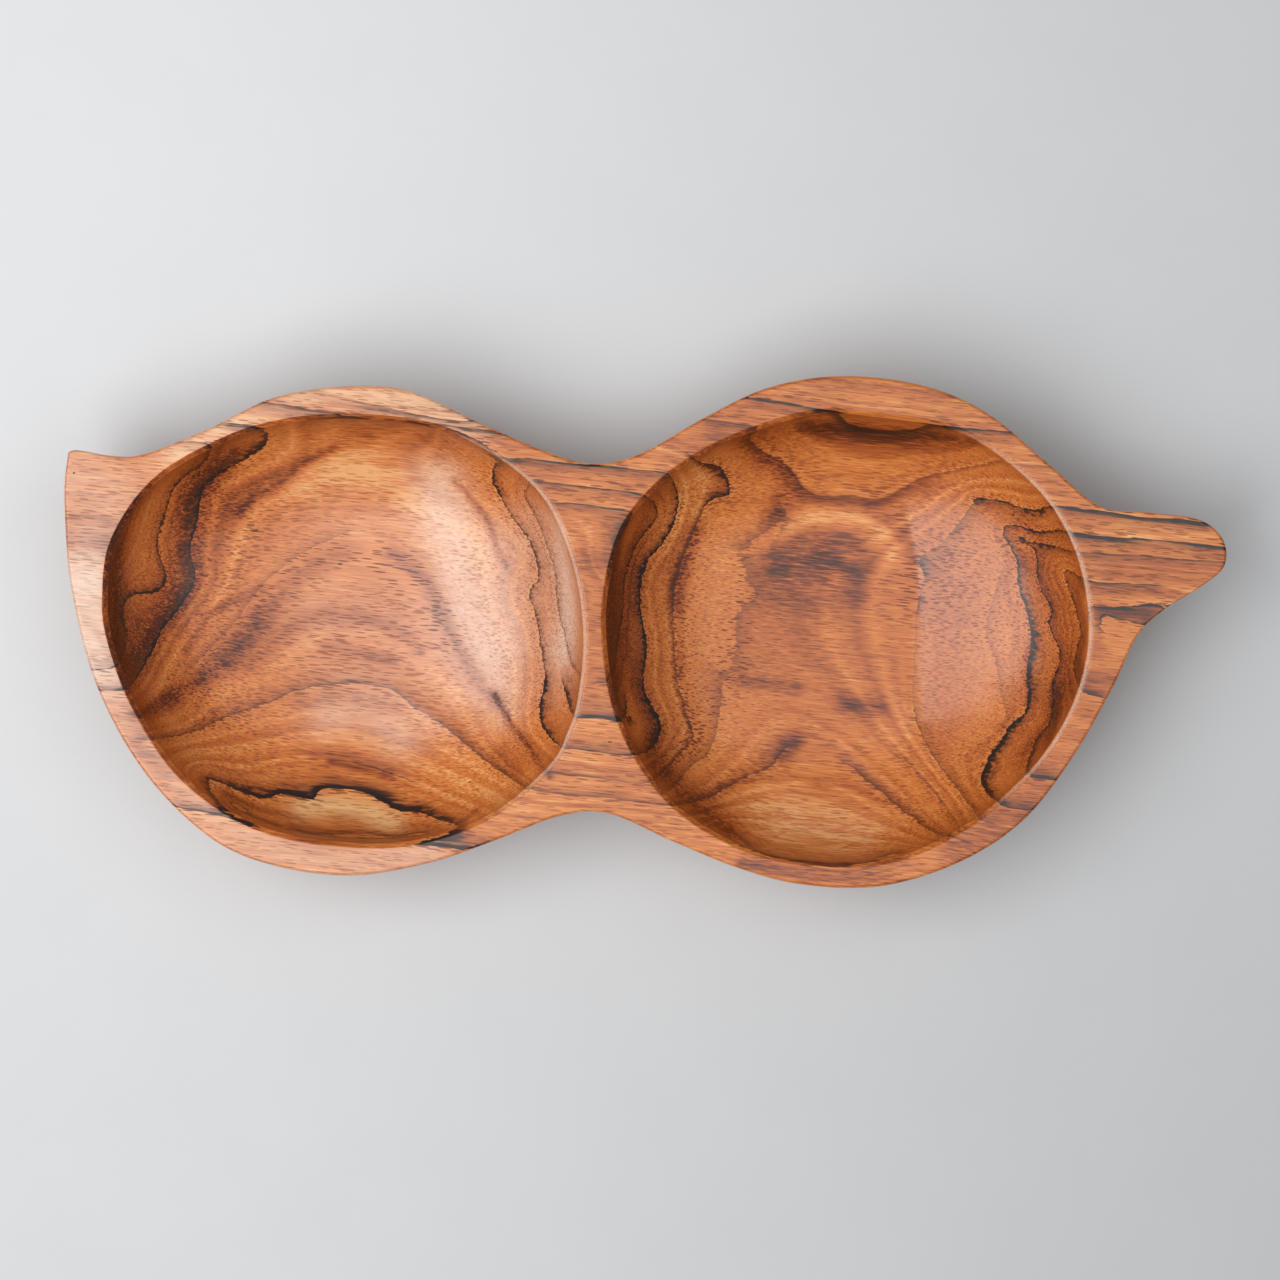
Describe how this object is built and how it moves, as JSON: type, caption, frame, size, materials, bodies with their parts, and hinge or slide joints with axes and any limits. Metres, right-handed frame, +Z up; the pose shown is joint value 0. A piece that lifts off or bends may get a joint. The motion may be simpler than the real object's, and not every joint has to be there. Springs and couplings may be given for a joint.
{
  "type": "divided serving bowl",
  "caption": "Carved teak serving bowl with oval hollows side by side under one flat rim, a thin ridge between them, a pointed leaf-like corner at one end and a rounded stem handle at the other.",
  "frame": {"origin": "middle of the outline seen from above, on the surface that the bowl stands on", "axes": "+X along the block from the leaf corner to the stem handle, +Y across it, +Z up out of the hollows"},
  "size_m": [0.36, 0.1586, 0.046],
  "materials": {
    "teak": "hand carved, smooth sanded and oiled to a satin sheen"
  },
  "bodies": {
    "root": {"carved_body": "teak"}
  },
  "joints": []
}
